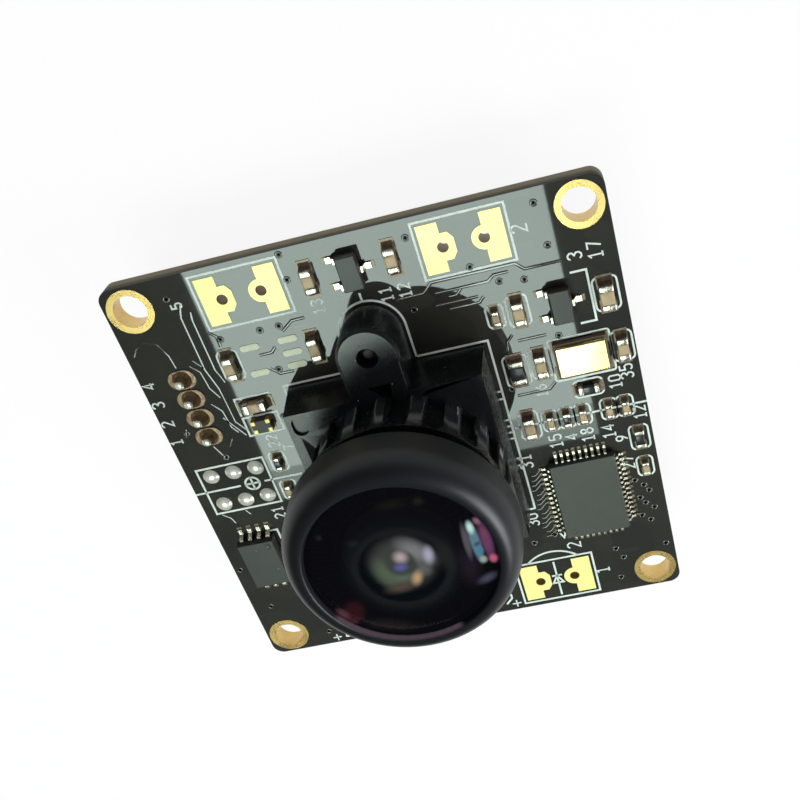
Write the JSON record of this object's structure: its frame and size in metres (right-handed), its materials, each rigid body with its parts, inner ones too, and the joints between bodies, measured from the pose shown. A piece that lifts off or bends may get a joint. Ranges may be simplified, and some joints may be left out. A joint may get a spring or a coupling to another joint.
{
  "type": "board camera module",
  "caption": "Square circuit board camera with a domed wide-angle lens in a fluted screw-on holder, corner mounting holes and a rear cable header.",
  "frame": {"origin": "centre of the four mounting holes on the board's back face", "axes": "+Z along the lens axis, out through the front glass; +X to the side with the video chip; +Y to the side with the regulator between the lamp pads"},
  "size_m": [0.038, 0.038, 0.0237],
  "materials": {
    "board": "glossy solder mask",
    "gold": "gold plate",
    "tin": "tinned",
    "holder": "moulded black",
    "screw": "nickel plated",
    "lens_metal": "black anodised",
    "seal": "smooth",
    "front_glass": "coated",
    "inner_glass": "coated",
    "filter_glass": "coated",
    "sensor_body": "matt",
    "silicon": "polished",
    "chip": "moulded resin",
    "crystal_case": "matt",
    "crystal_gold": "gold plate",
    "capacitor": "fired",
    "resistor": "glazed top",
    "ferrite": "fired",
    "header_plastic": "moulded natural",
    "fluxed_solder": "solder under brown flux"
  },
  "bodies": {
    "root": {"circuit_board": "board", "hole_plating": "gold", "lamp_pads": "gold", "solder_pads": "tin", "bare_pads": "tin", "lens_holder": "holder", "holder_screws": "screw", "lens_barrel": "lens_metal", "front_ring": "lens_metal", "front_seal": "seal", "front_lens": "front_glass", "second_lens": "inner_glass", "lens_spacer": "lens_metal", "third_lens": "inner_glass", "aperture_stop": "lens_metal", "fourth_lens": "inner_glass", "rear_spacer": "lens_metal", "rear_lens": "inner_glass", "infrared_filter": "filter_glass", "sensor_package": "sensor_body", "sensor_die": "silicon", "sensor_glass": "inner_glass", "sensor_contacts": "gold", "video_chip": "chip", "video_chip_leads": "tin", "memory_chip": "chip", "memory_chip_leads": "tin", "regulators": "chip", "regulator_leads": "tin", "crystal_base": "crystal_case", "crystal_lid": "crystal_gold", "large_capacitor": "capacitor", "large_capacitor_ends": "tin", "capacitors": "capacitor", "capacitor_ends": "tin", "small_capacitors": "capacitor", "small_capacitor_ends": "tin", "resistors": "resistor", "resistor_ends": "tin", "small_resistor": "resistor", "small_resistor_ends": "tin", "choke": "ferrite", "choke_ends": "gold", "solder_fillets": "tin", "solder_bumps": "tin", "header_housing": "header_plastic", "header_pins": "tin", "pin_solder": "fluxed_solder"}
  },
  "joints": []
}
